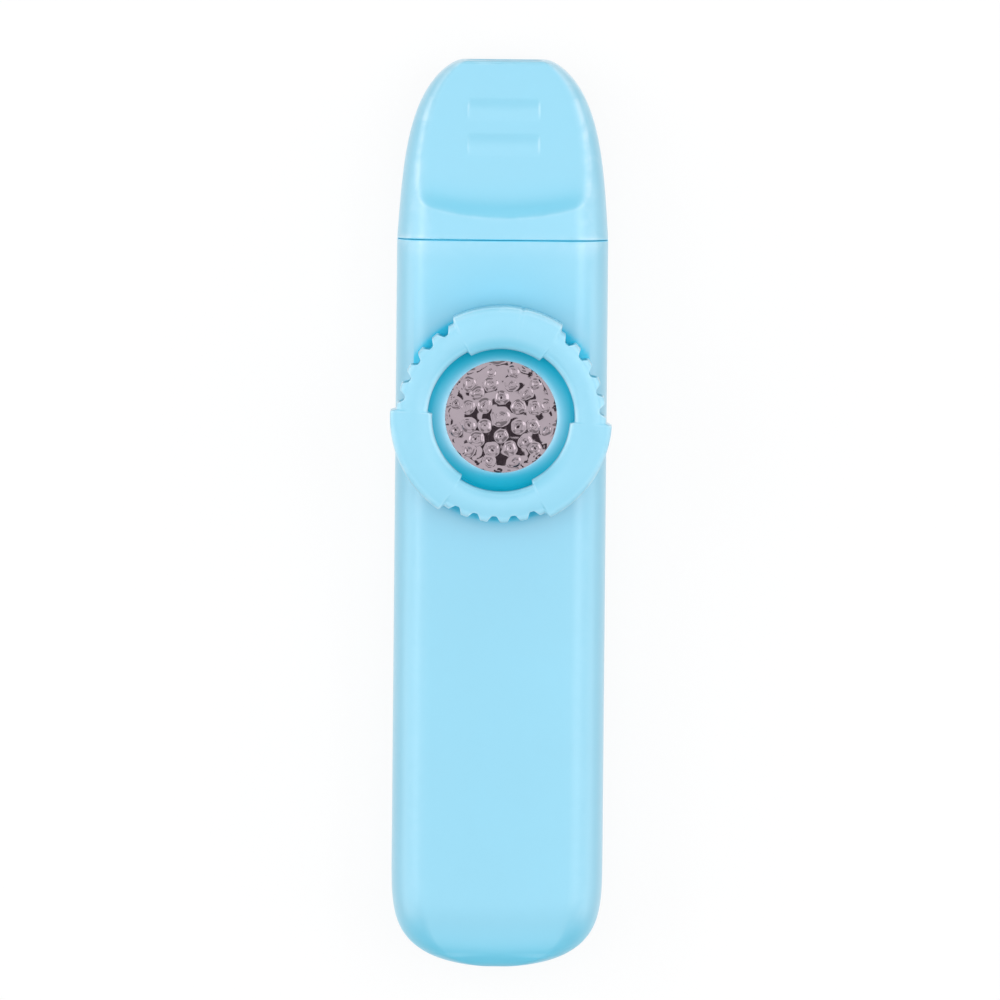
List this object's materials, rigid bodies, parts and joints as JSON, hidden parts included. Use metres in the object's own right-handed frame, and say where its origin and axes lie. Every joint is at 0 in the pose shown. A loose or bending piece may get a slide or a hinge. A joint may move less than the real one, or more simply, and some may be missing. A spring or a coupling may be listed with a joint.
{
  "type": "kazoo",
  "caption": "Flat plastic kazoo with a tapered mouthpiece, a rounded tail with a sound slot, and a lobed dial that tunes a round embossed membrane.",
  "frame": {"origin": "under the middle of the instrument, on the surface that its flat back lies on", "axes": "+Z out of the tone dial, +Y along the instrument towards the mouthpiece, +X to the right as the picture shows it"},
  "size_m": [0.0305, 0.125, 0.0242],
  "materials": {
    "shell_plastic": "light blue moulded plastic, satin gloss",
    "mouth_plastic": "light blue moulded plastic, satin gloss",
    "dial_plastic": "light blue moulded plastic, satin",
    "presser_plastic": "light blue moulded plastic, satin gloss",
    "membrane_film": "metallised film, embossed and crinkled",
    "hoop_plastic": "plain white plastic",
    "seal_rubber": "soft dark grey rubber"
  },
  "bodies": {
    "housing": {"body": "shell_plastic", "membrane": "membrane_film", "seat_ring": "seal_rubber"},
    "blowing_end": {"mouthpiece": "mouth_plastic"},
    "tension_set": {"presser": "presser_plastic", "membrane_hoop": "hoop_plastic"},
    "dial": {"tone_dial": "dial_plastic"}
  },
  "joints": [
    {"name": "presser_slide", "type": "slide", "parent": "housing", "child": "tension_set", "axis": [0, 0, 1], "range_m": [-0.0006, 0.0006], "deforming": ["seat_ring"]},
    {"name": "tone_turn", "type": "hinge", "parent": "tension_set", "child": "dial", "pos_m": [0, 0.0138, 0.021], "axis": [0, 0, 1], "range_deg": [-60, 60]},
    {"name": "mouthpiece_pull", "type": "slide", "parent": "housing", "child": "blowing_end", "axis": [0, 1, 0], "range_m": [0, 0.012]}
  ],
  "couplings": [
    {"joint": "presser_slide", "follows": "tone_turn", "m_per_rad": 0.000572}
  ]
}
